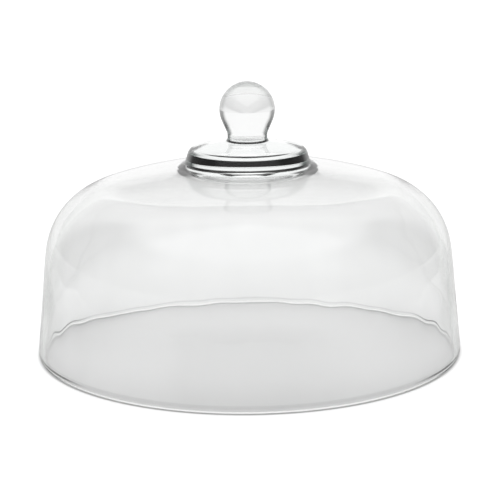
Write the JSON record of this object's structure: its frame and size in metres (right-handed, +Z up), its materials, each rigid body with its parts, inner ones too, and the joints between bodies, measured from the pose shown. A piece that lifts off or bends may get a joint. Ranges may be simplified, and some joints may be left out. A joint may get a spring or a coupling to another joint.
{
  "type": "glass food cover dome",
  "caption": "Clear glass bell-shaped cover for cakes and buffet food, with a thick flared collar and a solid ball knob on its crown, standing on a rounded rim.",
  "frame": {"origin": "centre of the rim, on the plane that the rim's flat seat rests on", "axes": "+Z up along the axis that every piece is turned about, towards the knob; X and Y are alike"},
  "size_m": [0.286, 0.286, 0.18],
  "materials": {
    "clear_glass": "polished"
  },
  "bodies": {
    "root": {"dome_shell": "clear_glass", "knob_collar": "clear_glass", "ball_knob": "clear_glass"}
  },
  "joints": []
}
